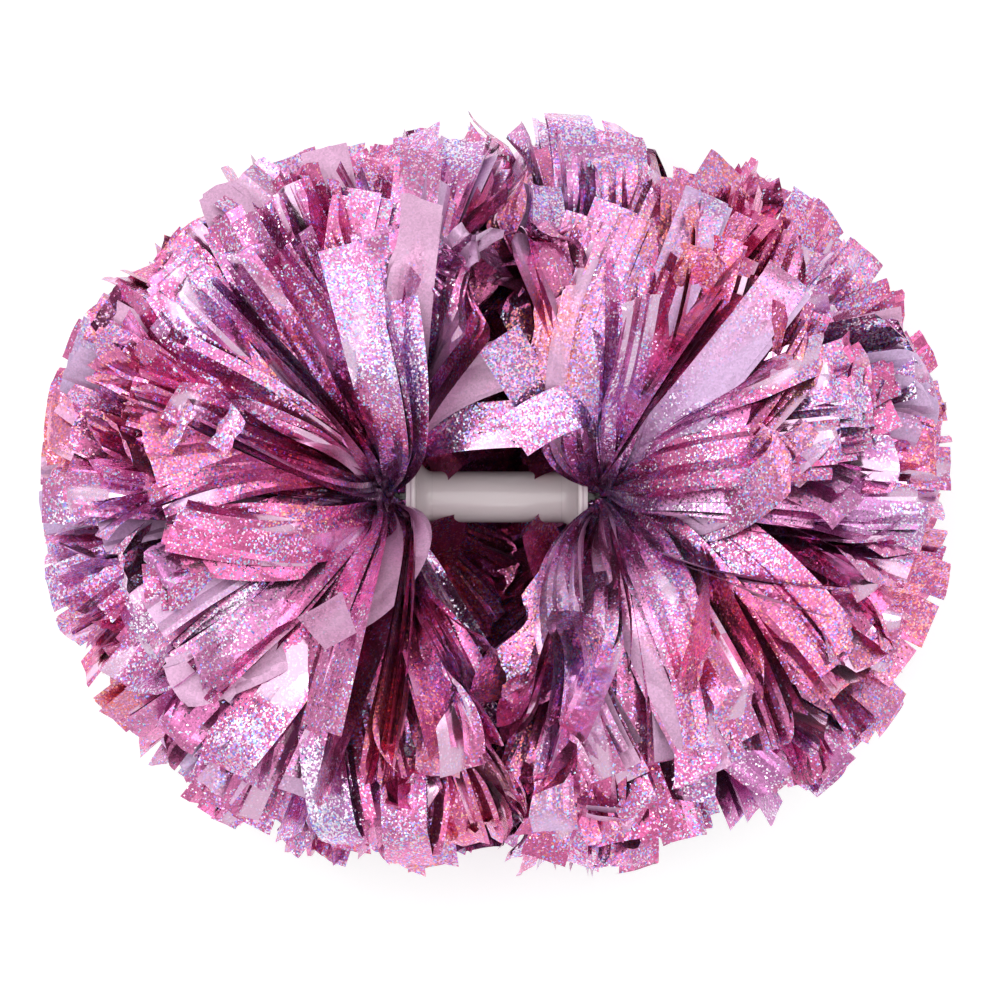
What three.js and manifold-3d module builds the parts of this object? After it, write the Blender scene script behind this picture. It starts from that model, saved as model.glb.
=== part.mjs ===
// Cheer pom pom: two tufts of slit metallised film on a short flanged hand grip, lying on its back.
// Millimetres, +Z up, +X along the grip. The origin is on the table, under the middle of the grip.
import * as THREE from 'three';
import { mergeVertices } from 'three/addons/utils/BufferGeometryUtils.js';
import { ConvexGeometry } from 'three/addons/geometries/ConvexGeometry.js';
import Module from 'manifold-3d';

const wasm = await Module();
wasm.setup();

// The whole pom pom
const HALF_LENGTH = 191; // along the grip
const HALF_WIDTH = 161.5; // across the grip
const GRIP_HEIGHT = 105; // grip axis above the table
const RISE = 112; // fluffed film above the grip axis
const SAG = 125; // depth of the underside, before the table flattens it
const FULLNESS = 2.3; // exponent of the rounded outline: 2 would be an ellipse
const OUTLINE_SEGMENTS = 32;
const GAP = 0.3; // between pieces that touch

// Hand grip: a moulded tube with a flanged end cap pressed into each end
const GRIP_RADIUS = 10.75;
const GRIP_BORE_RADIUS = 8.6;
const GRIP_HALF = 27;
const CAP_FACE = 37.5; // the cap's outer face, from the middle of the grip
const RIM_RADIUS = 24;
const RIM_THICKNESS = 4;
const RIM_ROUND = 1.2;
const SPIGOT_RADIUS = GRIP_BORE_RADIUS - GAP;
const SPIGOT_END = 16; // where the cap's spigot ends inside the tube
const CORD_HOLE_RADIUS = 2.1;
const CUP_RADIUS = 8.2; // recess in the cap's outer face
const CUP_FLOOR = 30;
const ROUND_SEGMENTS = 40;
const COVE_STEPS = 6;

// Core cord, knotted in the cup of each cap
const CORD_RADIUS = 1.7;
const KNOT_RADIUS = 2.7;
const KNOT_STEPS = 6;

// Binding tie: a strap round the film's waist, with an eye that the cord passes through
const EYE_THICKNESS = 1.5;
const EYE_RADIUS = 6.8;
const STRAP_INNER = 7;
const STRAP_OUTER = 8.3;
const STRAP_HALF_WIDTH = 2.5;
const LEG_LOW = 4.4;
const LEG_HIGH = 6.4;
const LEG_HALF_WIDTH = 2;
const LOCK_SIZE = [6.5, 5, 4.5];

// Film: where each tuft is gathered, and the sectors that its webs fan out into
const GATHER = CAP_FACE + 0.5 + STRAP_OUTER; // centre of the tuft's waist
const WAIST_HALF = 11;
const WAIST_FLARE = 8;
const MID_GAP = 0.75; // half the gap between the two tufts
const INNER_EDGE = 43; // outer side of the webs that lean over the grip
const HAND_RADIUS = 44; // free space round the grip
const MOUTH_HALF_ANGLE = 33; // degrees each side of straight up that stay open for the hand
const INNER_WEBS = 7;
const OUTER_WEBS = 6;
const NOSE_ANGLE = 38; // degrees from the grip axis
const WAIST_CLEARANCE = 18;
const WEB_SPACING = 6; // each web stands this far out from the waist, which opens the gaps
const FAR = 450;

const whitePlastic = { color: 0xe6dfe0, roughness: 0.28, metalness: 0 };
const clearNylon = { color: 0xe9e6e2, roughness: 0.45, metalness: 0 };
const cotton = { color: 0xf0ece8, roughness: 0.9, metalness: 0 };
const pinkFilm = { color: 0xa9588c, roughness: 0.25, metalness: 0.85 };

const radians = THREE.MathUtils.degToRad;

function bare(geometry) {
  const copy = geometry.clone();
  copy.deleteAttribute('normal');
  copy.deleteAttribute('uv');
  return mergeVertices(copy, 1e-4);
}

function toSolid(geometry) {
  const merged = bare(geometry);
  return new wasm.Manifold(new wasm.Mesh({
    numProp: 3,
    vertProperties: new Float32Array(merged.attributes.position.array),
    triVerts: new Uint32Array(merged.index.array),
  }));
}

function toGeometry(solid) {
  const mesh = solid.getMesh();
  const geometry = new THREE.BufferGeometry();
  geometry.setAttribute('position', new THREE.BufferAttribute(mesh.vertProperties, 3));
  geometry.setIndex(new THREE.BufferAttribute(mesh.triVerts, 1));
  return geometry;
}

function piece(name, geometry, look) {
  const mesh = new THREE.Mesh(bare(geometry), new THREE.MeshStandardMaterial(look));
  mesh.name = name;
  return mesh;
}

// A closed profile of [distance along X, radius] pairs, turned about the X axis
function turned(profile) {
  const points = profile.map(([along, radius]) => new THREE.Vector2(radius, along));
  return new THREE.LatheGeometry(points, ROUND_SEGMENTS).rotateZ(-Math.PI / 2);
}

function closed(profile) {
  return [...profile, profile[0]];
}

// ---- Hand grip ----

function gripTube() {
  return turned(closed([
    [-GRIP_HALF, GRIP_RADIUS],
    [GRIP_HALF, GRIP_RADIUS],
    [GRIP_HALF, GRIP_BORE_RADIUS],
    [-GRIP_HALF, GRIP_BORE_RADIUS],
  ]));
}

// Quarter of an ellipse that sweeps the grip's surface out to the rim
function cove(startX, endX, startRadius, endRadius) {
  return Array.from({ length: COVE_STEPS + 1 }, (_, i) => {
    const angle = (i / COVE_STEPS) * Math.PI / 2;
    return [
      startX + (endX - startX) * Math.sin(angle),
      startRadius + (endRadius - startRadius) * (1 - Math.cos(angle)),
    ];
  });
}

function endCap() {
  const shoulder = GRIP_HALF + GAP;
  const rimBack = CAP_FACE - RIM_THICKNESS;
  return turned(closed([
    [SPIGOT_END, SPIGOT_RADIUS],
    [shoulder, SPIGOT_RADIUS],
    ...cove(shoulder, rimBack, GRIP_RADIUS, RIM_RADIUS - RIM_ROUND),
    [rimBack + RIM_ROUND, RIM_RADIUS],
    [CAP_FACE - RIM_ROUND, RIM_RADIUS],
    [CAP_FACE, RIM_RADIUS - RIM_ROUND],
    [CAP_FACE, CUP_RADIUS],
    [CUP_FLOOR, CUP_RADIUS],
    [CUP_FLOOR, CORD_HOLE_RADIUS],
    [SPIGOT_END, CORD_HOLE_RADIUS],
  ]));
}

// ---- Core cord with a knot at each end ----

function knotArc(centre, from, to) {
  return Array.from({ length: KNOT_STEPS + 1 }, (_, i) => {
    const angle = from + (to - from) * (i / KNOT_STEPS);
    return [centre + KNOT_RADIUS * Math.cos(angle), KNOT_RADIUS * Math.sin(angle)];
  });
}

function coreCord() {
  const neck = Math.asin(CORD_RADIUS / KNOT_RADIUS);
  const centre = CUP_FLOOR + 2 * GAP + EYE_THICKNESS + KNOT_RADIUS;
  const right = knotArc(centre, 0, Math.PI - neck);
  const left = knotArc(-centre, neck, Math.PI);
  right[0][1] = 0;
  left[KNOT_STEPS][1] = 0;
  return turned([...right, ...left].reverse());
}

// ---- Binding tie ----

function strapRing() {
  const points = [
    [STRAP_INNER, -STRAP_HALF_WIDTH],
    [STRAP_OUTER, -STRAP_HALF_WIDTH],
    [STRAP_OUTER, STRAP_HALF_WIDTH],
    [STRAP_INNER, STRAP_HALF_WIDTH],
    [STRAP_INNER, -STRAP_HALF_WIDTH],
  ].map(([radius, along]) => new THREE.Vector2(radius, along));
  return new THREE.LatheGeometry(points, ROUND_SEGMENTS).translate(GATHER, 0, 0);
}

function bindingTie() {
  const eyeBack = CUP_FLOOR + GAP;
  const eyeFront = eyeBack + EYE_THICKNESS;
  const eye = turned(closed([
    [eyeBack, EYE_RADIUS],
    [eyeFront, EYE_RADIUS],
    [eyeFront, CORD_HOLE_RADIUS],
    [eyeBack, CORD_HOLE_RADIUS],
  ]));
  const legEnd = GATHER - Math.sqrt(STRAP_INNER ** 2 - LEG_LOW ** 2) - GAP;
  const leg = new THREE.BoxGeometry(legEnd - eyeBack, 2 * LEG_HALF_WIDTH, LEG_HIGH - LEG_LOW)
    .translate((legEnd + eyeBack) / 2, 0, (LEG_HIGH + LEG_LOW) / 2);
  const [lockLength, lockWidth, lockHeight] = LOCK_SIZE;
  const lock = new THREE.BoxGeometry(lockLength, lockWidth, lockHeight)
    .translate(GATHER, 0, STRAP_INNER + lockHeight / 2 + GAP);
  const solid = [eye, leg, lock].map(toSolid).reduce((sum, part) => sum.add(part), toSolid(strapRing()));
  return toGeometry(solid);
}

// ---- Film ----

// The squeezed middle of the webs, inside the strap
function filmWaist() {
  const neck = STRAP_INNER - GAP;
  const points = [
    [0, -WAIST_HALF],
    [WAIST_FLARE, -WAIST_HALF],
    [neck, -STRAP_HALF_WIDTH - GAP],
    [neck, STRAP_HALF_WIDTH + GAP],
    [WAIST_FLARE, WAIST_HALF],
    [0, WAIST_HALF],
  ].map(([radius, along]) => new THREE.Vector2(radius, along));
  return new THREE.LatheGeometry(points, ROUND_SEGMENTS / 2).translate(GATHER, 0, 0);
}

// Rounded outline of the whole pom pom about the middle of the grip, flat where it lies on the table
function outline() {
  const geometry = new THREE.SphereGeometry(1, OUTLINE_SEGMENTS, OUTLINE_SEGMENTS / 2).rotateX(Math.PI / 2);
  const position = geometry.attributes.position;
  const point = new THREE.Vector3();
  for (let i = 0; i < position.count; i += 1) {
    point.fromBufferAttribute(position, i);
    const height = point.z > 0 ? RISE : SAG;
    const sum = Math.abs(point.x / HALF_LENGTH) ** FULLNESS
      + Math.abs(point.y / HALF_WIDTH) ** FULLNESS
      + Math.abs(point.z / height) ** FULLNESS;
    point.multiplyScalar(sum ** (-1 / FULLNESS));
    position.setXYZ(i, point.x, point.y, point.z);
  }
  const aboveTable = new THREE.BoxGeometry(FAR, FAR, FAR).translate(0, 0, FAR / 2 - GRIP_HEIGHT);
  return toSolid(geometry).intersect(toSolid(aboveTable));
}

// Point at a distance from the grip axis; turn is the angle in degrees from straight up
function around(along, radius, turn) {
  const angle = radians(turn);
  return new THREE.Vector3(along, radius * Math.sin(angle), radius * Math.cos(angle));
}

function web(body, corners, push) {
  const wedge = new ConvexGeometry(corners).translate(push.x, push.y, push.z);
  return toGeometry(body.intersect(toSolid(wedge)));
}

// Leans from the gather over the grip: a slab between the tufts' middle and the cap
function innerWeb(body, index) {
  const span = (360 - 2 * MOUTH_HALF_ANGLE) / INNER_WEBS;
  const start = MOUTH_HALF_ANGLE + span * index;
  const inner = HAND_RADIUS / Math.cos(radians(span / 2));
  const corners = [];
  for (const turn of [start, start + span]) {
    for (const along of [MID_GAP, INNER_EDGE]) {
      corners.push(around(along, inner, turn), around(along, FAR, turn));
    }
  }
  return web(body, corners, around(0, WEB_SPACING, start + span / 2));
}

// Direction from the gather, tilt degrees away from the grip axis
function fromGather(distance, tilt, turn) {
  const direction = around(Math.cos(radians(tilt)) * distance, Math.sin(radians(tilt)) * distance, turn);
  return direction.add(new THREE.Vector3(GATHER, 0, 0));
}

// Spreads outwards, between the nose and a plane square to the grip
function outerWeb(body, index) {
  const span = 360 / OUTER_WEBS;
  const start = span * index - span / 2;
  const corners = [];
  for (const turn of [start, start + span]) {
    for (const tilt of [NOSE_ANGLE, 90]) {
      corners.push(fromGather(WAIST_CLEARANCE, tilt, turn), fromGather(FAR, tilt, turn));
    }
  }
  const push = fromGather(WEB_SPACING, (NOSE_ANGLE + 90) / 2, start + span / 2);
  return web(body, corners, push.sub(new THREE.Vector3(GATHER, 0, 0)));
}

// Points straight out from the end of the grip
function noseWeb(body) {
  const corners = [];
  for (let i = 0; i < OUTER_WEBS; i += 1) {
    const turn = (360 / OUTER_WEBS) * (i - 0.5);
    corners.push(fromGather(WAIST_CLEARANCE, NOSE_ANGLE, turn), fromGather(FAR, NOSE_ANGLE, turn));
  }
  return web(body, corners, new THREE.Vector3(WEB_SPACING, 0, 0));
}

// ---- Assembly ----

// Everything on the +X side of the grip; the other side is the same turned half a turn
function side(name, body) {
  const group = new THREE.Group();
  group.add(piece(`${name}_end_cap`, endCap(), whitePlastic));
  group.add(piece(`${name}_binding_tie`, bindingTie(), clearNylon));
  group.add(piece(`${name}_film_waist`, filmWaist(), pinkFilm));
  group.add(piece(`${name}_nose_web`, noseWeb(body), pinkFilm));
  for (let i = 0; i < OUTER_WEBS; i += 1) {
    group.add(piece(`${name}_outer_web_${i + 1}`, outerWeb(body, i), pinkFilm));
  }
  for (let i = 0; i < INNER_WEBS; i += 1) {
    group.add(piece(`${name}_inner_web_${i + 1}`, innerWeb(body, i), pinkFilm));
  }
  return group;
}

function pompom() {
  const group = new THREE.Group();
  const body = outline();
  const left = side('left', body);
  left.rotation.z = Math.PI;
  group.add(piece('grip_tube', gripTube(), whitePlastic), piece('core_cord', coreCord(), cotton));
  group.add(side('right', body), left);
  group.position.z = GRIP_HEIGHT;
  return group;
}

export default pompom();
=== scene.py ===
import math

import bpy
import numpy as np
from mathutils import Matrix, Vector


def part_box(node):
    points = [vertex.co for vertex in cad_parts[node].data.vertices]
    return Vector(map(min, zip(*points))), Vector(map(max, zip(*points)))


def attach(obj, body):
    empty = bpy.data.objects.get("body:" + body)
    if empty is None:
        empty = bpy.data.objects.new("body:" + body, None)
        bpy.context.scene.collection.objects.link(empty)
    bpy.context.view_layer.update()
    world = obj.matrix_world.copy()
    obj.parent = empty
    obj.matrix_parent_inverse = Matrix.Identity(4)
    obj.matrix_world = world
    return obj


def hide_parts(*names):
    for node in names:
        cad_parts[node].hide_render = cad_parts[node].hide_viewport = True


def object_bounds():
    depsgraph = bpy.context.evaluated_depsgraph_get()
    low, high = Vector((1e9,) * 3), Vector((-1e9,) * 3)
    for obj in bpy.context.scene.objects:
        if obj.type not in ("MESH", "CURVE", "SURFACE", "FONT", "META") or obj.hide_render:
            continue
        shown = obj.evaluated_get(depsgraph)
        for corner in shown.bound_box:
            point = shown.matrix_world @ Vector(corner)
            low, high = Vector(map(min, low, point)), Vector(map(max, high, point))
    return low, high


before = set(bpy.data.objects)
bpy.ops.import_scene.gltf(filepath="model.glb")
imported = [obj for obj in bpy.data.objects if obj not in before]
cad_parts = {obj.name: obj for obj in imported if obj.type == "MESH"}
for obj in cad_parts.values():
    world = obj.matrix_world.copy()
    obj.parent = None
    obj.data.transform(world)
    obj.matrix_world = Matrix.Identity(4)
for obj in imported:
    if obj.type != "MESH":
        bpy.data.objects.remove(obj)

CAD_LOW, CAD_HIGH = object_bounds()
rng = np.random.default_rng(20)

# Cheer pom pom: two tufts of holographic film strips, bound to the ends of a flanged grip, lying on its back.
# Strips are worked out from the grip's middle and on the +X side, and place() puts them into the frame.

# ---- Places and sizes, in metres, from the frame ----

GRIP_LOW, GRIP_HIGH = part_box("grip_tube")
CAP_LOW, CAP_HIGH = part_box("right_end_cap")
WAIST_LOW, WAIST_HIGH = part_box("right_film_waist")
AXIS_Z = (GRIP_LOW.z + GRIP_HIGH.z) / 2
GRIP_RADIUS = (GRIP_HIGH.z - GRIP_LOW.z) / 2
GRIP_END = GRIP_HIGH.x
CAP_FACE = CAP_HIGH.x
RIM_RADIUS = (CAP_HIGH.z - CAP_LOW.z) / 2
GATHER_X = (WAIST_LOW.x + WAIST_HIGH.x) / 2
GATHER = np.array([GATHER_X, 0, 0])
WAIST_RADIUS = (WAIST_HIGH.x - WAIST_LOW.x) / 2
WAIST_HEIGHT = (WAIST_HIGH.z - WAIST_LOW.z) / 2
TIE_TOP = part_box("right_binding_tie")[1].z - AXIS_Z
UP = np.array([0, 0, 1.0])

# The rounded outline: half sizes, depth of the underside before the floor flattens it, and an exponent,
# where 2 would make it an ellipse
HALF = np.array([CAD_HIGH.x, CAD_HIGH.y, CAD_HIGH.z - AXIS_Z])
SAG = 0.125
FULLNESS = 2.3
FLOOR_GAP = 0.0004

# The sectors that the webs fill, as in the frame; angles in degrees
INNER_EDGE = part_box("right_inner_web_4")[1].x
NOSE_ANGLE = 38
OUTER_WEBS = 6
INNER_WEBS = 7
MOUTH_HALF_ANGLE = 33

# A strip of film, how far its tip may be from the waist, and the grid that it is made of
STRIP_WIDTH = 0.019
LONGEST = 0.162
COLUMNS = 8
ROWS = 26

# The surface where the two tufts meet
MIDDLE_GAP = 0.0006
PRESS_DEPTH = 0.008
MEETING_WAVE = 0.011
MEETING_PITCH = 0.043


# ---- Outline of the pom pom ----

def outline_value(points):
    """Under 1 inside the rounded outline and over 1 outside it."""
    height = np.where(points[..., 2] > 0, HALF[2], SAG)
    half = np.stack([np.full_like(height, HALF[0]), np.full_like(height, HALF[1]), height], -1)
    return ((np.abs(points) / half) ** FULLNESS).sum(-1)


def pull_inside(points):
    """Moves points that are outside the outline onto it, and keeps all of them over the floor."""
    value = outline_value(points)
    factor = np.where(value > 1, value ** (-1 / FULLNESS), 1)
    points = points * factor[..., None]
    points[..., 2] = np.maximum(points[..., 2], FLOOR_GAP - AXIS_Z)
    return points


def keep_to_side(points, side):
    """Presses what would cross into the other tuft against the surface where the two meet.

    That surface is turned about the grip's axis, so that one tuft can turn beside the other, and it waves, so
    that each tuft reaches over the other's edge."""
    radius = np.hypot(points[..., 1], points[..., 2])
    sign = 1 if side == "right" else -1
    meeting = sign * MEETING_WAVE * np.sin(2 * math.pi * radius / MEETING_PITCH)
    beyond = points[..., 0] - meeting
    softness = PRESS_DEPTH - MIDDLE_GAP
    pressed = MIDDLE_GAP + softness * np.exp(np.minimum(beyond - PRESS_DEPTH, 0) / softness)
    points = points.copy()
    points[..., 0] = meeting + np.where(beyond < PRESS_DEPTH, pressed, beyond)
    return points


# ---- One strip of film ----

FULL_PLEAT = math.radians(80)
TWIST_START = 0.3  # share of the strip's length where it starts to twist
CURL_START = 0.4  # and where it starts to curl across its width
RIPPLE = 0.3  # share by which the creases deepen and fade along the strip
RIPPLE_RATE = 9
ROWS_BEFORE_BEND = 4

# Which way each of the strip's columns tilts when it is pleated: as many one way as the other
FOLD_PATTERNS = np.array([
    [1, 1, -1, -1, 1, 1, -1, -1],
    [1, 1, 1, -1, -1, -1, 1, -1],
    [1, -1, -1, 1, 1, 1, -1, -1],
    [1, 1, -1, -1, -1, 1, 1, -1],
    [1, 1, 1, -1, -1, -1, -1, 1],
    [1, 1, -1, 1, -1, -1, 1, -1],
])


def unit(v):
    return v / np.maximum(np.linalg.norm(v, axis=-1, keepdims=True), 1e-9)


def smoothstep(x):
    x = np.clip(x, 0, 1)
    return x * x * (3 - 2 * x)


def fold_signs():
    return rng.choice(FOLD_PATTERNS) * rng.choice([-1, 1])


def bend(points, row, along, across, normal, slant, angle, length):
    """Bends the strip past a row, round a line slanted across it, without stretching it."""
    centre = points[row, COLUMNS // 2]
    line = unit(across * math.cos(slant) + along * math.sin(slant))
    forward = unit(along * math.cos(slant) - across * math.sin(slant))
    delta = points - centre
    distance = delta @ forward
    height = delta @ normal
    side = delta @ line
    radius = length / angle
    turned = np.clip(distance, 0, length) / radius
    beyond = np.maximum(distance - length, 0)
    cos, sin = np.cos(turned), np.sin(turned)
    ahead = radius * sin + beyond * cos - height * sin
    raised = radius * (1 - cos) + beyond * sin + height * cos
    moved = centre + side[..., None] * line + ahead[..., None] * forward + raised[..., None] * normal
    later = (distance > 0) & (np.arange(len(points))[:, None] > row - ROWS_BEFORE_BEND)
    return np.where(later[..., None], moved, points)


def along_path(path, t):
    """Points of a cubic curve with four control points."""
    a, b, c, d = path
    return (1 - t) ** 3 * a + 3 * t * (1 - t) ** 2 * b + 3 * t ** 2 * (1 - t) * c + t ** 3 * d


def path_length(path, samples):
    line = along_path(path, np.linspace(0, 1, samples)[:, None])
    return np.linalg.norm(np.diff(line, axis=0), axis=1).sum()


def slacken(path, push, length):
    """Moves the path's middle points along push until it is as long as the strip."""
    low, high = 0.0, 0.16
    for _ in range(9):
        middle = (low + high) / 2
        if path_length(path + push * middle, 20) < length:
            low = middle
        else:
            high = middle
    return path + push * low


def strip(path, facing, roll, signs, opening, flatness, twist=0, curl=0, bends=()):
    """Grid of points, rows along the strip and columns across it.

    facing is roughly the strip's normal, opening is the share of its length over which the pleats open, and
    each bend is a share of the length, a slant, an angle and the length that it takes."""
    t = np.linspace(0, 1, ROWS)[:, None]
    centre = along_path(path, t)
    along = unit(np.gradient(centre, axis=0))
    across = unit(np.cross(facing, along))
    normal = np.cross(along, across)
    turn = roll + twist * smoothstep((t - TWIST_START) / (1 - TWIST_START))
    across, normal = (across * np.cos(turn) + normal * np.sin(turn),
                      normal * np.cos(turn) - across * np.sin(turn))
    rippled = flatness * (1 + RIPPLE * np.sin(RIPPLE_RATE * t + roll))
    pleat = FULL_PLEAT * (1 - smoothstep(t / opening)) + rippled
    from_middle = np.arange(COLUMNS) - (COLUMNS - 1) / 2
    angle = signs * pleat + curl * smoothstep((t - CURL_START) / (1 - CURL_START)) * from_middle
    step = STRIP_WIDTH / COLUMNS
    x = np.concatenate([np.zeros((ROWS, 1)), np.cumsum(np.cos(angle) * step, 1)], 1)
    z = np.concatenate([np.zeros((ROWS, 1)), np.cumsum(np.sin(angle) * step, 1)], 1)
    x -= x.mean(1, keepdims=True)
    z -= z.mean(1, keepdims=True)
    points = centre[:, None] + across[:, None] * x[..., None] + normal[:, None] * z[..., None]
    for share, slant, amount, length in bends:
        row = int(share * (ROWS - 1))
        towards = normal[row] if amount > 0 else -normal[row]
        points = bend(points, row, along[row], across[row], towards, slant, abs(amount), length)
    return points


# ---- Collecting strips into pieces ----

class Web:
    """The strips of one web, joined into one mesh."""

    def __init__(self):
        self.points, self.faces, self.sharp, self.film, self.look = [], [], [], [], []
        self.lengths = []
        self.offset = 0

    def add(self, points, signs, length, look):
        """look is how pale the strip is from painted sheen, how blue and how glittery, each from 0 to 1."""
        rows, columns = points.shape[:2]
        grid = np.arange(rows * columns).reshape(rows, columns) + self.offset
        quads = np.stack([grid[:-1, :-1], grid[:-1, 1:], grid[1:, 1:], grid[1:, :-1]], -1)
        self.faces.append(quads.reshape(-1, 4))
        folds = 1 + np.flatnonzero(signs[1:] != signs[:-1])
        self.sharp.append(np.stack([grid[:-1, folds], grid[1:, folds]], -1).reshape(-1, 2))
        v, u = np.meshgrid(np.linspace(0, length, rows), np.linspace(0, STRIP_WIDTH, columns), indexing="ij")
        number = np.full_like(u, rng.uniform(0, 50))
        self.film.append(np.stack([u, v, number], -1).reshape(-1, 3))
        self.look.append(np.tile(np.clip(look, 0, 1), (rows * columns, 1)))
        self.points.append(points.reshape(-1, 3))
        self.offset += rows * columns
        self.lengths.append(length)

    def build(self, name, material):
        points = np.concatenate(self.points)
        faces = np.concatenate(self.faces)
        mesh = bpy.data.meshes.new(name)
        mesh.vertices.add(len(points))
        mesh.vertices.foreach_set("co", points.ravel())
        mesh.loops.add(faces.size)
        mesh.loops.foreach_set("vertex_index", faces.ravel())
        mesh.polygons.add(len(faces))
        mesh.polygons.foreach_set("loop_start", np.arange(len(faces)) * 4)
        mesh.polygons.foreach_set("loop_total", np.full(len(faces), 4))
        mesh.update(calc_edges=True)
        mesh.polygons.foreach_set("use_smooth", np.ones(len(faces), bool))
        self.mark_folds(mesh, len(points))
        film = mesh.attributes.new("film", "FLOAT_VECTOR", "POINT")
        film.data.foreach_set("vector", np.concatenate(self.film).ravel())
        look = mesh.attributes.new("look", "FLOAT_VECTOR", "POINT")
        look.data.foreach_set("vector", np.concatenate(self.look).ravel())
        mesh.materials.append(material)
        mesh.validate()
        piece = bpy.data.objects.new(name, mesh)
        bpy.context.scene.collection.objects.link(piece)
        return piece

    def mark_folds(self, mesh, total):
        edges = np.zeros(len(mesh.edges) * 2, np.int64)
        mesh.edges.foreach_get("vertices", edges)
        edges = np.sort(edges.reshape(-1, 2), 1)
        folds = np.sort(np.concatenate(self.sharp), 1)
        is_fold = np.isin(edges[:, 0] * total + edges[:, 1], folds[:, 0] * total + folds[:, 1])
        sharp = mesh.attributes.new("sharp_edge", "BOOLEAN", "EDGE")
        sharp.data.foreach_set("value", is_fold)


webs = {}


def web_of(side, tip):
    """Name of the web that a strip with this tip, on the +X side, belongs to."""
    turn = math.degrees(math.atan2(tip[1], tip[2])) % 360
    if tip[0] < INNER_EDGE:
        span = (360 - 2 * MOUTH_HALF_ANGLE) / INNER_WEBS
        index = int(np.clip((turn - MOUTH_HALF_ANGLE) // span, 0, INNER_WEBS - 1))
        return f"{side}_inner_web_{index + 1}"
    tilt = math.degrees(math.atan2(math.hypot(tip[1], tip[2]), tip[0] - GATHER_X))
    if tilt < NOSE_ANGLE:
        return f"{side}_nose_web"
    index = int(((turn + 180 / OUTER_WEBS) % 360) // (360 / OUTER_WEBS))
    return f"{side}_outer_web_{index + 1}"


def place(points, side):
    """From the grip's middle and the +X side into the frame."""
    points = points.copy()
    if side == "left":
        points[..., :2] *= -1
    points[..., 2] += AXIS_Z
    return points


# ---- Where the strips go ----

WIDEST_PLAN = 1.95  # radians from the grip's axis, for the strips that lean outwards
UPWARD_SHARE = 0.55  # of those strips, how many rise
FROM_BELOW = -0.04  # strips with tips lower than this leave the waist under the binding tie
SAGGING = -0.03  # strips with tips higher than this rise first and then droop
LOW_INNER = -0.05  # strips beside the grip with tips lower than this are long and slack
FACING_UP = -0.08  # strips with tips lower than this face up, and the others face outwards
BESIDE_CAP = np.array([0.0395, 0, 0])


def reach_of(start, direction):
    """How far it is from start, inside the outline, to the outline or the floor."""
    low, high = 0.0, 0.25
    for _ in range(12):
        middle = (low + high) / 2
        point = start + direction * middle
        if outline_value(point) < 1 and point[2] > 0.003 - AXIS_Z:
            low = middle
        else:
            high = middle
    return low


def outer_tip():
    """Tip of a strip that leans outwards from the waist, level or a little up or down."""
    plan = rng.uniform(-WIDEST_PLAN, WIDEST_PLAN)
    rises = rng.random() < UPWARD_SHARE
    tilt = math.radians(rng.triangular(-4, 20, 45) if rises else rng.uniform(-46, 4))
    direction = np.array([math.cos(tilt) * math.cos(plan), math.cos(tilt) * math.sin(plan), math.sin(tilt)])
    reach = min(reach_of(GATHER, direction), LONGEST)
    return GATHER + direction * reach * rng.uniform(0.9, 0.995)


def inner_tip():
    """Tip of a strip that goes round the end cap towards the middle; the higher ones stay further inside."""
    turn = math.radians(rng.uniform(48, 180)) * rng.choice([-1, 1])
    direction = np.array([0, math.sin(turn), math.cos(turn)])
    start = np.array([rng.uniform(-0.004, INNER_EDGE), 0, 0])
    reach = reach_of(start, direction)
    longest = math.sqrt(LONGEST ** 2 - (GATHER_X - start[0]) ** 2)
    furthest = 0.99 - 0.14 * max(direction[2], 0)
    return start + direction * min(reach, longest) * rng.uniform(furthest - 0.1, furthest)


def tips_in(web, count, choices=3):
    """Tips inside one web's sector, each of them the furthest from the others among a few choices."""
    tips = []
    make = inner_tip if web.startswith("inner") else outer_tip
    while len(tips) < count:
        candidates = []
        while len(candidates) < choices:
            tip = make()
            if web_of("right", tip) == f"right_{web}":
                candidates.append(tip)
        gaps = [min([np.linalg.norm(tip - other) for other in tips], default=0) for tip in candidates]
        tips.append(candidates[int(np.argmax(gaps))])
    return tips


def root_for(tip):
    """Where a strip leaves the waist: over the binding tie, or under it for the strips that hang lowest."""
    away = unit((tip - GATHER) * np.array([1, 1, 0]))
    if tip[2] > FROM_BELOW:
        base = GATHER + np.array([-0.0035, 0, TIE_TOP + rng.uniform(0.002, 0.006)])
    else:
        base = GATHER - np.array([0.0015, 0, WAIST_HEIGHT + rng.uniform(-0.002, 0.003)])
    return base + away * np.array([0.004, 0.003, 0])


def inner_path(tip, length):
    """Path of a strip that leaves the waist beside the end cap and comes back towards the middle."""
    radial = unit(np.array([0, tip[1], tip[2]]))
    reach = np.linalg.norm(tip[1:])
    root = root_for(tip)
    near = BESIDE_CAP + radial * max(0.3 * reach, 0.03)
    far = near * 0.38 + tip * 0.62
    sideways = np.cross(np.array([1.0, 0, 0]), radial) * rng.normal(0, 0.7)
    push = unit(sideways + (UP if tip[2] > SAGGING else np.array([-1.0, 0, 0])))
    return slacken(np.array([root, near, far, tip]), np.array([push * 0, push * 0, push, push * 0]), length)


def outer_path(tip, length):
    """Path of a strip that rises from the waist and droops outwards."""
    direction = unit(tip - GATHER)
    root = root_for(tip)
    sideways = unit(np.cross(UP, direction)) * rng.normal(0, 0.5 if tip[2] > SAGGING else 1.2)
    push = UP + sideways
    push = unit(push - direction * (push @ direction))
    path = np.array([root, root + (tip - root) * 0.36, root + (tip - root) * 0.7, tip])
    return slacken(path, np.array([push * 0, push, push * 0.8, push * 0]), length)


def path_to(tip, length):
    return inner_path(tip, length) if tip[0] < INNER_EDGE + 0.002 else outer_path(tip, length)


def slack_of(tip):
    """Lowest and highest length of a strip, as shares of the straight way to its tip."""
    if tip[0] >= INNER_EDGE:
        return 1.01, 1.06
    return (1.06, 1.2) if tip[2] < LOW_INNER else (1.0, 1.03)


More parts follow.
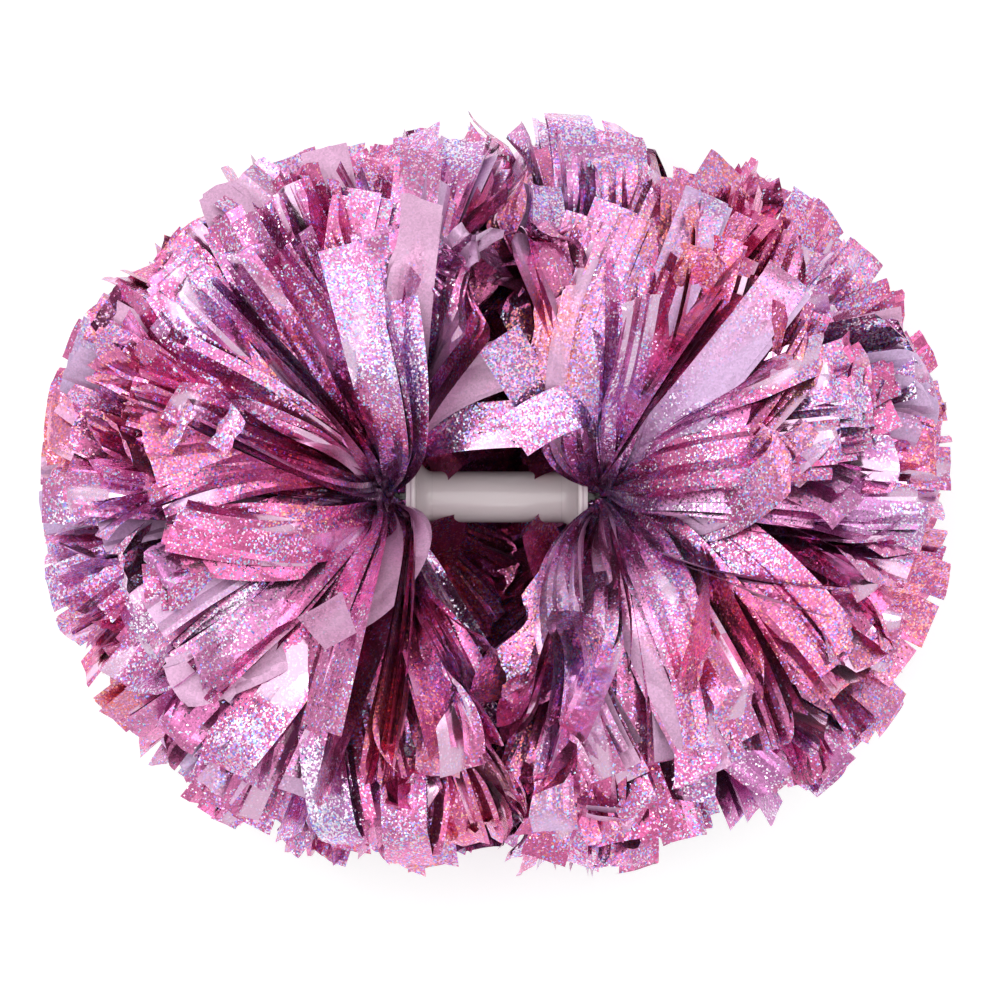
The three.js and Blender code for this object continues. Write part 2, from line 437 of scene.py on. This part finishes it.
def chance_bends():
    """More than half of the strips have one soft bend."""
    if rng.random() < 0.6:
        return [(rng.uniform(0.45, 0.85), rng.normal(0, 0.5), rng.normal(0, 0.4), rng.uniform(0.01, 0.035))]
    return []


def add_lock(side, tip, layers):
    """A few strips that lie on each other and fan out from the waist."""
    length = np.linalg.norm(tip - GATHER) * rng.uniform(*slack_of(tip))
    path = path_to(tip, length)
    along = unit(tip - path[2])
    outward = UP if tip[2] < FACING_UP else unit(tip * np.array([1, 1, 1.5]) + UP * 0.03)
    facing = unit(outward + rng.normal(0, 0.35, 3))
    facing = unit(facing - along * (facing @ along))
    edge_on = rng.random() < (0.45 if tip[2] < SAGGING else 0.2)
    roll = rng.uniform(-1.5, 1.5) if edge_on else rng.normal(0, 0.4)
    web = webs.setdefault(web_of(side, tip), Web())
    spacing = rng.uniform(0.001, 0.0026)
    across = np.cross(facing, along)
    stack = facing * math.cos(roll) - across * math.sin(roll)
    flat = across * math.cos(roll) + facing * math.sin(roll)
    opening = rng.uniform(0.25, 0.65)
    look = np.array([rng.beta(1.3, 1.9), rng.beta(1.2, 1.6), rng.beta(2.0, 1.2)])
    fan = rng.uniform(-0.006, 0.006)
    for i in range(layers):
        level = i - (layers - 1) / 2
        shift = stack * level * spacing + flat * (level * fan + rng.normal(0, 0.0015))
        slip = along * rng.normal(-0.002, 0.004)
        moved = path + np.outer([0.1, 0.35, 0.75, 1], shift) + np.outer([0, 0, 0.5, 1], slip)
        bends = chance_bends()
        signs = fold_signs()
        points = strip(moved, facing, roll + rng.normal(0, 0.07), signs, opening + rng.normal(0, 0.04),
                       abs(rng.normal(0.13, 0.1)), rng.normal(0, 0.2), rng.normal(0, 0.03), bends)
        points = keep_to_side(pull_inside(points), side)
        web.add(place(points, side), signs, length, look + rng.normal(0, 0.12, 3))


def add_waist(side, strips=16):
    """The part of the strips that runs through the binding tie, pinched to the tie's inside."""
    web = webs.setdefault(f"{side}_film_waist", Web())
    never_opens = 60
    for k in range(strips):
        angle = 2 * math.pi * k / strips
        outward = np.array([math.cos(angle), math.sin(angle), 0])
        path = np.array([GATHER + outward * WAIST_RADIUS * radius + UP * WAIST_HEIGHT * height
                         for radius, height in ((0.86, -1), (0.62, -0.4), (0.62, 0.4), (0.86, 1))])
        signs = fold_signs()
        length = 2.06 * WAIST_HEIGHT
        points = strip(path, outward, 0, signs, never_opens, 0)
        web.add(place(points, side), signs, length, rng.uniform(0, 0.7, 3))


# How many locks of strips each web has on a side
LOCKS = {
    "nose_web": 46,
    "outer_web_1": 5,
    "outer_web_2": 24,
    "outer_web_3": 24,
    "outer_web_4": 8,
    "outer_web_5": 24,
    "outer_web_6": 24,
    "inner_web_1": 8,
    "inner_web_2": 17,
    "inner_web_3": 14,
    "inner_web_4": 14,
    "inner_web_5": 14,
    "inner_web_6": 17,
    "inner_web_7": 8,
}

for side in ("left", "right"):
    add_waist(side)
    for web, count in LOCKS.items():
        for tip in tips_in(web, count):
            add_lock(side, tip, int(rng.integers(3, 7)))


# ---- Strips placed one by one ----

CREASED = 0.04  # how far such a strip is from flat


def crown(x, y):
    """Height of the outline over a place on the plan."""
    value = 1 - abs(x / HALF[0]) ** FULLNESS - abs(y / HALF[1]) ** FULLNESS
    return HALF[2] * max(value, 0) ** (1 / FULLNESS)


def add_feature(side, x, y, level, roll, twist, look, opening=0.4, bends=(), layers=1):
    """A strip on top; x and y of its tip are in mm, and level is from 0 at the grip to 1 at the outline."""
    x, y = x / 1000, y / 1000
    tip = np.array([x, y, crown(x, y) * level])
    if side == "left":
        tip[:2] *= -1
    length = np.linalg.norm(tip - GATHER) * 1.05
    path = path_to(tip, length)
    name = web_of(side, tip)
    for i in range(layers):
        signs = fold_signs()
        moved = path + np.outer([0, 0.4, 0.8, 1], np.array([0, 0.004, 0.0015]) * i)
        points = strip(moved, UP, roll + 0.05 * i, signs, opening, CREASED, twist, rng.normal(0, 0.02), bends)
        webs[name].add(place(keep_to_side(pull_inside(points), side), side), signs, length, look)


def add_course(side, points, roll, look, opening=0.4, twist=0, bends=(), layers=1, fan=0.0, crosses=False):
    """A strip along four points, in mm from the grip's middle; crosses lets it lie over the other tuft."""
    path = np.array(points) / 1000
    if side == "left":
        path[:, :2] *= -1
    web = webs[web_of(side, path[3])]
    length = path_length(path, 40)
    for i in range(layers):
        signs = fold_signs()
        moved = path + np.outer([0, 0.3, 0.7, 1], np.array([fan, 0, 0.0012])) * (i - (layers - 1) / 2)
        points = strip(moved, UP, roll, signs, opening, CREASED, twist, rng.normal(0, 0.02), bends)
        if not crosses:
            points = keep_to_side(points, side)
        web.add(place(points, side), signs, length, look)


# Strips that stand out on top: side, tip on the plan in mm, level, roll, twist, (pale from painted sheen,
# blue, glitter)
add_feature("left", -30, 118, 0.97, 0.1, 0.2, (1.0, 0.2, 0.0), layers=2)
add_feature("left", -70, 141, 0.97, -0.1, 0.1, (1.0, 0.2, 0.0), layers=2)
add_feature("left", -112, 127, 0.97, 0.0, 0.2, (1.0, 0.2, 0.1), layers=2)
add_feature("left", -132, 92, 0.96, 0.2, -0.2, (0.3, 0.5, 0.9), layers=3)
add_feature("left", -118, 20, 0.8, 0.5, 1.6, (0.9, 0.2, 0.3), bends=[(0.7, 0.3, 0.5, 0.02)])
add_feature("left", -186, 30, 0.9, 0.0, 0.1, (0.1, 0.0, 1.0), layers=3)
add_feature("left", -129, -73, 0.98, 0.0, 0.15, (1.0, 0.25, 0.0), opening=0.3, layers=2)
add_feature("left", -72, -62, 0.75, 0.2, 0.3, (0.95, 0.2, 0.1), bends=[(0.6, 0.4, 0.5, 0.02)])
add_feature("left", -72, -122, 0.95, 0.3, 0.9, (0.1, 0.1, 0.7))
add_feature("left", -20, -95, 0.8, -0.3, -0.4, (0.6, 0.3, 0.8), layers=2)
add_feature("left", -62, -138, 0.97, 0.1, 0.1, (0.3, 1.0, 1.0), layers=3)
add_feature("left", -36, -148, 0.97, 0.0, 0.2, (0.5, 1.0, 0.9), layers=3)
add_feature("left", -112, -104, 0.97, 0.0, 0.2, (0.2, 0.3, 1.0), layers=3)
add_feature("right", 29, 157, 0.95, 0.0, 0.1, (0.4, 0.7, 1.0), layers=2)
add_feature("right", 85, 118, 0.97, 0.1, -0.2, (0.9, 1.0, 0.6), layers=2)
add_feature("right", 117, 85, 0.98, 0.0, 0.1, (0.9, 0.9, 0.7), layers=2)
add_feature("right", 140, 50, 0.95, -0.3, 0.1, (0.5, 0.6, 0.8), layers=2)
add_feature("right", 125, 22, 0.85, 0.4, 0.2, (0.9, 0.3, 0.2), layers=2)
add_feature("right", 136, -66, 0.98, 0.0, 0.1, (0.3, 0.2, 0.9), opening=0.3, layers=3)
add_feature("right", 161, -62, 1.0, 0.0, 0.1, (0.5, 1.0, 1.0), layers=3)
add_feature("right", 85, -110, 0.97, 0.1, 0.2, (0.9, 0.3, 0.1), layers=2)
add_feature("right", 45, -127, 0.97, -0.1, 0.1, (0.95, 0.4, 0.2), layers=2)
add_feature("right", 43, -94, 0.75, 0.3, 0.5, (0.2, 0.2, 0.9), bends=[(0.65, 0.6, 0.6, 0.015)])
add_feature("right", 6, -70, 0.7, 0.3, 0.3, (0.4, 0.5, 0.8))

# Strips with a path of their own: side, four points in mm, roll, (pale from painted sheen, blue, glitter)
# Across the mouth's upper edge, over the end cap's rim, with its end folded back on itself
add_course("left", [(-45, 3, 14), (-54, 34, 36), (-2, 28, 62), (66, 31, 60)], 0, (0.4, 0.75, 1.0),
           opening=0.3, bends=[(0.78, 0.5, 2.7, 0.004)], crosses=True)
# The square end of a glittering strip from the other tuft, lying over it
add_course("right", [(46, 4, 14), (56, 34, 50), (44, 50, 76), (7, 24, 68)], 0, (0.3, 1.0, 1.0),
           opening=0.3, crosses=True)
# A strip made pale by painted sheen above them and more glittering ones
add_course("left", [(-45, 4, 14), (-48, 32, 42), (-24, 46, 58), (12, 56, 60)], 0.1, (1.0, 0.25, 0.0),
           opening=0.3, layers=2, fan=0.005, crosses=True)
add_course("right", [(45, 5, 13), (40, 26, 34), (34, 52, 48), (36, 82, 54)], 0, (0.05, 0.1, 1.0),
           opening=0.45, layers=3, fan=0.008)
add_course("right", [(45, 4, 13), (36, 24, 30), (24, 44, 44), (14, 78, 44)], 0.15, (0.1, 0.3, 1.0),
           layers=2, fan=0.007)
add_course("right", [(45, 5, 12), (38, 30, 24), (22, 60, 30), (6, 98, 34)], -0.2, (0.3, 0.5, 0.9),
           layers=3, fan=0.006)
add_course("left", [(-45, 5, 12), (-38, 30, 24), (-24, 62, 30), (-8, 104, 30)], 0.2, (0.3, 0.2, 0.8),
           layers=3, fan=-0.006)
# Strips that cross under the mouth's lower edge
add_course("right", [(45, -4, 12), (36, -26, 20), (16, -50, 24), (-4, -78, 26)], 0.2, (0.5, 0.3, 0.8),
           opening=0.5, layers=2, fan=0.006)
add_course("right", [(45, -4, 12), (40, -30, 24), (30, -60, 32), (26, -96, 34)], -0.2, (0.2, 0.2, 1.0),
           opening=0.5, layers=3, fan=0.008, bends=[(0.75, 0.6, 0.5, 0.015)])
add_course("left", [(-45, -4, 12), (-38, -26, 18), (-20, -56, 16), (4, -92, 12)], 0.2, (0.5, 0.7, 0.9),
           opening=0.5, layers=2, fan=0.006)
add_course("left", [(-45, -4, 12), (-40, -30, 24), (-30, -66, 26), (-16, -112, 22)], -0.1, (0.2, 0.6, 1.0),
           opening=0.5, layers=3, fan=-0.008)
# Pinched folds over the end caps' rims
add_course("right", [(50, 0, 13), (44, 4, 24), (38, 8, 32), (30, 16, 22)], 0.2, (0.3, 0.2, 0.6), 2.0)
add_course("right", [(46, -2, 14), (41, -12, 27), (36, -22, 26), (26, -46, 12)], 0.4, (0.1, 0.2, 0.6), 1.6)
add_course("right", [(46, 2, 14), (41, 14, 28), (37, 24, 27), (36, 44, 20)], -0.3, (0.4, 0.6, 0.9), 1.3)
add_course("left", [(-46, -2, 14), (-41, -14, 27), (-37, -26, 24), (-24, -52, 6)], -0.4, (0.4, 0.4, 0.8), 1.5)
add_course("left", [(-46, 2, 14), (-42, 12, 27), (-40, 24, 28), (-44, 50, 30)], 0.4, (0.3, 0.8, 1.0), 1.2)
# Dark corners of the strips under the grip that show over its edges
for side, x, y in (("left", -19, 1), ("right", 16, 1), ("left", -20, -1), ("right", 16, -1)):
    add_course(side, [(x * 2.2, y * 46, -40), (x * 1.6, y * 36, -30), (x * 1.2, y * 24, -8), (x, y * 8, 9)],
               0.2, (0.0, 0.2, 0.4), opening=0.5, twist=0.5)


# ---- Materials ----

class Nodes:
    """A material's node tree, with short calls for the nodes used here."""

    def __init__(self, name):
        self.material = bpy.data.materials.new(name)
        self.material.use_nodes = True
        self.tree = self.material.node_tree
        self.tree.nodes.clear()
        self.shader = self.tree.nodes.new("ShaderNodeBsdfPrincipled")
        output = self.tree.nodes.new("ShaderNodeOutputMaterial")
        self.tree.links.new(self.shader.outputs[0], output.inputs["Surface"])

    def new(self, kind, inputs=None, **settings):
        node = self.tree.nodes.new(kind)
        for key, value in settings.items():
            setattr(node, key, value)
        for key, value in (inputs or {}).items():
            self.put(node.inputs[key], value)
        return node

    def put(self, socket, value):
        if isinstance(value, bpy.types.NodeSocket):
            self.tree.links.new(value, socket)
        else:
            socket.default_value = value

    def object_place(self):
        return self.new("ShaderNodeTexCoord").outputs["Object"]

    def attribute(self, name):
        return self.new("ShaderNodeAttribute", attribute_name=name).outputs["Vector"]

    def math(self, operation, a, b):
        return self.new("ShaderNodeMath", {0: a, 1: b}, operation=operation).outputs[0]

    def vector(self, operation, a, b=(0, 0, 0), scale=1.0):
        node = self.new("ShaderNodeVectorMath", {0: a, 1: b}, operation=operation)
        if operation == "SCALE":
            self.put(node.inputs["Scale"], scale)
        return node.outputs[0]

    def spread(self, value, low=0.0, high=1.0, start=0.0, end=1.0):
        """Maps low to high onto start to end, and stays at start or end beyond them."""
        return self.new("ShaderNodeMapRange", {0: value, 1: low, 2: high, 3: start, 4: end}).outputs[0]

    def mix(self, factor, a, b):
        node = self.new("ShaderNodeMix", data_type="RGBA", blend_type="MIX", clamp_factor=True)
        self.put(node.inputs[0], factor)
        self.put(node.inputs[6], a)
        self.put(node.inputs[7], b)
        return node.outputs[2]

    def ramp(self, factor, stops):
        node = self.new("ShaderNodeValToRGB", {0: factor})
        elements = node.color_ramp.elements
        while len(elements) < len(stops):
            elements.new(0.5)
        for element, (position, colour) in zip(elements, stops):
            element.position = position
            element.color = (*colour, 1)
        return node.outputs[0]

    def noise(self, place, scale, detail=2.0, output="Fac"):
        node = self.new("ShaderNodeTexNoise", {"Vector": place, "Scale": scale, "Detail": detail})
        return node.outputs[output]

    def cells(self, place, scale):
        """One random colour for each small cell."""
        node = self.new("ShaderNodeTexVoronoi", {"Vector": place, "Scale": scale}, feature="F1")
        return node.outputs["Color"]

    def tilt(self, colour, amount):
        """A tilt of the surface, for cells of random colour."""
        return self.vector("SCALE", self.vector("SUBTRACT", colour, (0.5, 0.5, 0.5)), scale=amount)

    def bump(self, height, strength, distance):
        inputs = {"Height": height, "Strength": strength, "Distance": distance}
        return self.new("ShaderNodeBump", inputs).outputs[0]

    def set(self, **inputs):
        for key, value in inputs.items():
            self.put(self.shader.inputs[key.replace("_", " ")], value)


def film_body(n, painted_sheen, blueness, patch_hue):
    """The film's pink, made lighter on strips with more painted sheen; some strips are cooler in patches."""
    body = n.ramp(painted_sheen, [(0.0, (0.64, 0.11, 0.30)), (0.5, (0.66, 0.17, 0.38)), (1.0, (0.68, 0.28, 0.50))])
    cool = n.math("MULTIPLY", n.spread(blueness, 0.35), n.spread(patch_hue, 0.4, 0.6))
    return n.mix(n.math("MULTIPLY", cool, 0.5), body, (0.42, 0.27, 0.64, 1))


def grain_hue(n, chance, blueness, patch_hue):
    """Diffraction colour of a grain, with other colours in other patches and on other strips."""
    by_patch = n.math("MULTIPLY", n.math("SUBTRACT", patch_hue, 0.47), 2.4)
    by_strip = n.math("MULTIPLY", n.math("SUBTRACT", blueness, 0.35), 0.6)
    shift = n.math("ADD", by_patch, by_strip)
    return n.ramp(n.math("ADD", shift, chance),
                  [(0.0, (1.0, 0.24, 0.20)), (0.1, (1.0, 0.60, 0.36)), (0.2, (0.96, 0.30, 0.62)),
                   (0.42, (1.0, 0.66, 0.86)), (0.56, (0.70, 0.30, 0.92)), (0.72, (0.22, 0.24, 0.95)),
                   (0.88, (0.42, 0.80, 0.98)), (1.0, (0.92, 0.80, 0.94))])


def facet_tilt(n, strip_place, wave):
    """Flat facets of crumpled film."""
    wander = n.noise(strip_place, 60.0, output="Color")
    stretched = n.vector("MULTIPLY", strip_place, (95.0, 45.0, 1.0))
    facets = n.cells(n.vector("ADD", stretched, n.vector("SCALE", wander, scale=1.2)), 1.0)
    return n.tilt(facets, n.spread(wave, 0.42, 0.62, 0.06, 0.38))


def crease_bump(n, strip_place):
    """Fine creases along a strip."""
    creases = n.noise(n.vector("MULTIPLY", strip_place, (260.0, 12.0, 1.0)), 1.0, detail=1.0)
    return n.bump(n.math("MULTIPLY", creases, 0.0006), 0.5, 1.0)


def film_material():
    """Holographic pink film: a shiny metal with small grains of random colour and tilt, and crumpled facets;
    painted sheen on some strips and a painted glint in smoother bands.
    """
    n = Nodes("holographic_film")
    place = n.object_place()
    strip_place = n.attribute("film")
    painted_sheen, blueness, glitter = n.new("ShaderNodeSeparateXYZ", {0: n.attribute("look")}).outputs
    grain = n.cells(place, 1450.0)
    hue_chance, rank, brightness = n.new("ShaderNodeSeparateColor", {0: grain}).outputs
    patch = n.noise(place, 26.0)
    patch_hue = n.noise(place, 15.0, detail=1.0)
    wave = n.noise(n.vector("MULTIPLY", strip_place, (45.0, 16.0, 1.0)), 1.0, detail=1.0)

    # Coloured grains on the film's own colour
    amount = n.math("MULTIPLY", n.spread(patch, 0.38, 0.56, 0.3), n.spread(glitter, start=0.2))
    chosen = n.math("GREATER_THAN", rank, n.math("SUBTRACT", 1.0, n.math("MULTIPLY", amount, 0.75)))
    colour = n.mix(n.math("MULTIPLY", chosen, 0.9), film_body(n, painted_sheen, blueness, patch_hue),
                   grain_hue(n, hue_chance, blueness, patch_hue))
    colour = n.vector("SCALE", colour, scale=n.spread(brightness, start=0.68, end=1.22))

    # Painted sheen: strips high in it turn matt and are painted pale; painted glint: smoother bands are
    # painted a lighter pink
    level = n.math("ADD", n.math("MULTIPLY", wave, 0.5), painted_sheen)
    matt_and_sheen = n.spread(level, 1.10, 1.18)
    # The pale colour of the painted sheen
    pale = n.mix(blueness, (0.70, 0.38, 0.57, 1), (0.60, 0.41, 0.66, 1))
    pale = n.vector("SCALE", pale, scale=n.spread(brightness, start=0.86, end=1.1))
    colour = n.mix(n.math("MULTIPLY", matt_and_sheen, 0.94), colour, pale)
    # Smoother bands, painted a lighter pink as a painted glint where the film is not matt
    mirror_and_glint = n.math("MULTIPLY", n.spread(wave, 0.63, 0.67), n.math("SUBTRACT", 1.0, matt_and_sheen))
    colour = n.mix(n.math("MULTIPLY", mirror_and_glint, 0.75), colour, (0.84, 0.58, 0.78, 1))

    # The grains tilt, save where the film is matt with painted sheen or in a smoother band with a painted
    # glint
    plain = n.math("SUBTRACT", n.math("SUBTRACT", 1.02, matt_and_sheen), n.math("MULTIPLY", mirror_and_glint, 0.9))
    unrest = n.math("ADD", n.math("MULTIPLY", chosen, 0.34), 0.09)
    grain_tilt = n.tilt(grain, n.math("MULTIPLY", plain, unrest))
    normal = n.vector("ADD", crease_bump(n, strip_place), grain_tilt)
    normal = n.vector("ADD", normal, facet_tilt(n, strip_place, wave))
    n.set(Base_Color=colour, Normal=n.vector("NORMALIZE", normal))

    smooth = n.math("SUBTRACT", n.spread(patch, 0.3, 0.7, 0.20, 0.34), n.math("MULTIPLY", mirror_and_glint, 0.08))
    n.set(Roughness=n.math("ADD", smooth, n.math("MULTIPLY", matt_and_sheen, 0.2)))
    n.set(Metallic=n.spread(matt_and_sheen, start=0.95, end=0.35))
    n.shader.inputs["Coat Weight"].default_value = 0.4
    n.shader.inputs["Coat Roughness"].default_value = 0.07
    return n.material


def plastic_material(name, colour, roughness, bump):
    """Moulded plastic: faint unevenness in its colour, gloss and surface."""
    n = Nodes(name)
    place = n.object_place()
    cloud = n.noise(place, 60.0, detail=4.0)
    darker = tuple(c * 0.93 for c in colour)
    n.set(Base_Color=n.mix(cloud, (*darker, 1), (*colour, 1)))
    n.set(Roughness=n.spread(cloud, start=roughness * 0.8, end=roughness * 1.3))
    n.set(Normal=n.bump(n.noise(place, 420.0), bump, 0.0004))
    n.shader.inputs["Coat Weight"].default_value = 0.4
    n.shader.inputs["Coat Roughness"].default_value = 0.12
    return n.material


def cord_material():
    """Braided white cord, with painted shade in the braid's grooves."""
    n = Nodes("braided_cord")
    braid = n.new("ShaderNodeTexWave", {"Vector": n.object_place(), "Scale": 420.0, "Distortion": 2.0},
                  bands_direction="DIAGONAL").outputs["Fac"]
    # Painted shade: where the braid's wave is low, in its grooves, the cord is coloured a darker grey
    n.set(Base_Color=n.mix(braid, (0.55, 0.52, 0.5, 1), (0.85, 0.83, 0.8, 1)), Roughness=0.9)
    n.set(Normal=n.bump(braid, 0.6, 0.0003))
    return n.material


FILM = film_material()
GRIP = plastic_material("grip_plastic", (0.86, 0.76, 0.77), 0.22, 0.25)
NYLON = plastic_material("tie_nylon", (0.82, 0.80, 0.76), 0.4, 0.5)
CORD = cord_material()


# ---- Film pieces ----

for name in sorted(webs):
    web = webs[name]
    piece = web.build(f"{name}_film", FILM)
    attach(piece, f"{name.split('_')[0]}_tuft")
    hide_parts(name)


# ---- Turned pieces ----

SEGMENTS = 96
SHARP_ANGLE = math.radians(35)
BORE = GRIP_RADIUS * 0.8
SPIGOT_RADIUS = GRIP_RADIUS * 0.77
CAP_GAP = 0.00004
RIM_THICKNESS = 0.004
ROUND_EDGE = 0.0012
CUP_RADIUS = 0.0082
CUP_FLOOR = 0.030
CORD_HOLE = 0.0021
COVE_STEPS = 16
EDGE_STEPS = 8


def turned_piece(node, profile):
    """A closed profile of (along, radius) points turned about the grip's axis, which replaces the node."""
    count = len(profile)
    points = []
    for k in range(SEGMENTS):
        angle = 2 * math.pi * k / SEGMENTS
        points += [(along, radius * math.cos(angle), radius * math.sin(angle) + AXIS_Z)
                   for along, radius in profile]
    faces = []
    for k in range(SEGMENTS):
        here, there = k * count, (k + 1) % SEGMENTS * count
        faces += [(here + j, here + (j + 1) % count, there + (j + 1) % count, there + j)
                  for j in range(count)]
    mesh = bpy.data.meshes.new(f"{node}_gloss")
    mesh.from_pydata(points, [], faces)
    mesh.materials.append(GRIP)
    mesh.polygons.foreach_set("use_smooth", np.ones(len(faces), bool))
    mesh.update()
    mesh.set_sharp_from_angle(angle=SHARP_ANGLE)
    piece = bpy.data.objects.new(f"{node}_gloss", mesh)
    bpy.context.scene.collection.objects.link(piece)
    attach(piece, "grip")
    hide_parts(node)


def grip_profile():
    outside = [(GRIP_END * share, GRIP_RADIUS) for share in (-1, -0.5, 0, 0.5, 1)]
    return [*outside, (GRIP_END, BORE), (-GRIP_END, BORE)]


def cap_profile(sign):
    """From the spigot over the cove and the rounded rim to the cup and the cord's hole."""
    start = GRIP_END + CAP_GAP
    rim_back = CAP_FACE - RIM_THICKNESS
    flat_radius = RIM_RADIUS - ROUND_EDGE
    cove = [(start + (rim_back - start) * math.sin(a),
             GRIP_RADIUS + (flat_radius - GRIP_RADIUS) * (1 - math.cos(a)))
            for a in (math.pi / 2 * k / COVE_STEPS for k in range(COVE_STEPS + 1))]
    edge = [(rim_back + ROUND_EDGE * (1 + math.cos(a)), flat_radius + ROUND_EDGE * math.sin(a))
            for a in (math.pi * (1 - k / EDGE_STEPS) for k in range(1, EDGE_STEPS))]
    inside = [(CAP_FACE, CUP_RADIUS), (CUP_FLOOR, CUP_RADIUS), (CUP_FLOOR, CORD_HOLE), (CAP_LOW.x, CORD_HOLE)]
    profile = [(CAP_LOW.x, SPIGOT_RADIUS), (start, SPIGOT_RADIUS), *cove, *edge, (CAP_FACE, flat_radius)]
    return [(sign * x, r) for x, r in profile + inside]


turned_piece("grip_tube", grip_profile())
for side, sign in (("left", -1), ("right", 1)):
    turned_piece(f"{side}_end_cap", cap_profile(sign))
    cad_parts[f"{side}_binding_tie"].data.materials[0] = NYLON
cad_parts["core_cord"].data.materials[0] = CORD


# ---- Floor, light and camera ----

def white_floor():
    n = Nodes("pale_floor")
    cloud = n.noise(n.object_place(), 3.0)
    n.set(Base_Color=n.mix(cloud, (0.93, 0.93, 0.93, 1), (0.95, 0.95, 0.95, 1)), Roughness=0.9)
    n.set(Emission_Color=(1, 1, 1, 1), Emission_Strength=0.24)
    mesh = bpy.data.meshes.new("floor")
    reach = 6
    corners = [(-reach, -reach, 0), (reach, -reach, 0), (reach, reach, 0), (-reach, reach, 0)]
    mesh.from_pydata(corners, [], [(0, 1, 2, 3)])
    mesh.materials.append(n.material)
    floor = bpy.data.objects.new("floor", mesh)
    bpy.context.scene.collection.objects.link(floor)


def soft_light(name, place, size, brightness):
    """A square softbox that faces the grip; brightness is that of its face, where 1 is white."""
    light = bpy.data.lights.new(name, "AREA")
    light.shape = "SQUARE"
    light.size = size
    light.energy = brightness * math.pi * size ** 2
    lamp = bpy.data.objects.new(name, light)
    lamp.location = place
    lamp.rotation_euler = (Vector((0, 0, AXIS_Z)) - Vector(place)).to_track_quat("-Z", "Y").to_euler()
    bpy.context.scene.collection.objects.link(lamp)


def studio():
    world = bpy.data.worlds.new("studio")
    bpy.context.scene.world = world
    world.use_nodes = True
    background = world.node_tree.nodes["Background"]
    background.inputs["Color"].default_value = (1, 1, 1, 1)
    background.inputs["Strength"].default_value = 0.87
    soft_light("overhead", (-0.3, 0.3, 1.9), 2.2, 0.75)
    soft_light("key", (-0.8, 0.7, 1.4), 0.5, 3.0)
    soft_light("fill", (0.9, 0.3, 1.4), 0.4, 2.7)
    soft_light("front", (0.2, -0.9, 1.4), 0.4, 2.7)


def top_camera():
    """Looks straight down, as a camera without a turn does; span is what it takes in at the grip's height."""
    span, distance = 0.42, 1.3
    camera = bpy.data.cameras.new("camera")
    camera.sensor_width = 36
    camera.lens = camera.sensor_width * distance / span
    eye = bpy.data.objects.new("camera", camera)
    eye.location = (0.0013, -0.0013, AXIS_Z + distance)
    bpy.context.scene.collection.objects.link(eye)
    bpy.context.scene.camera = eye


white_floor()
studio()
top_camera()
bpy.context.scene.view_settings.view_transform = "Standard"
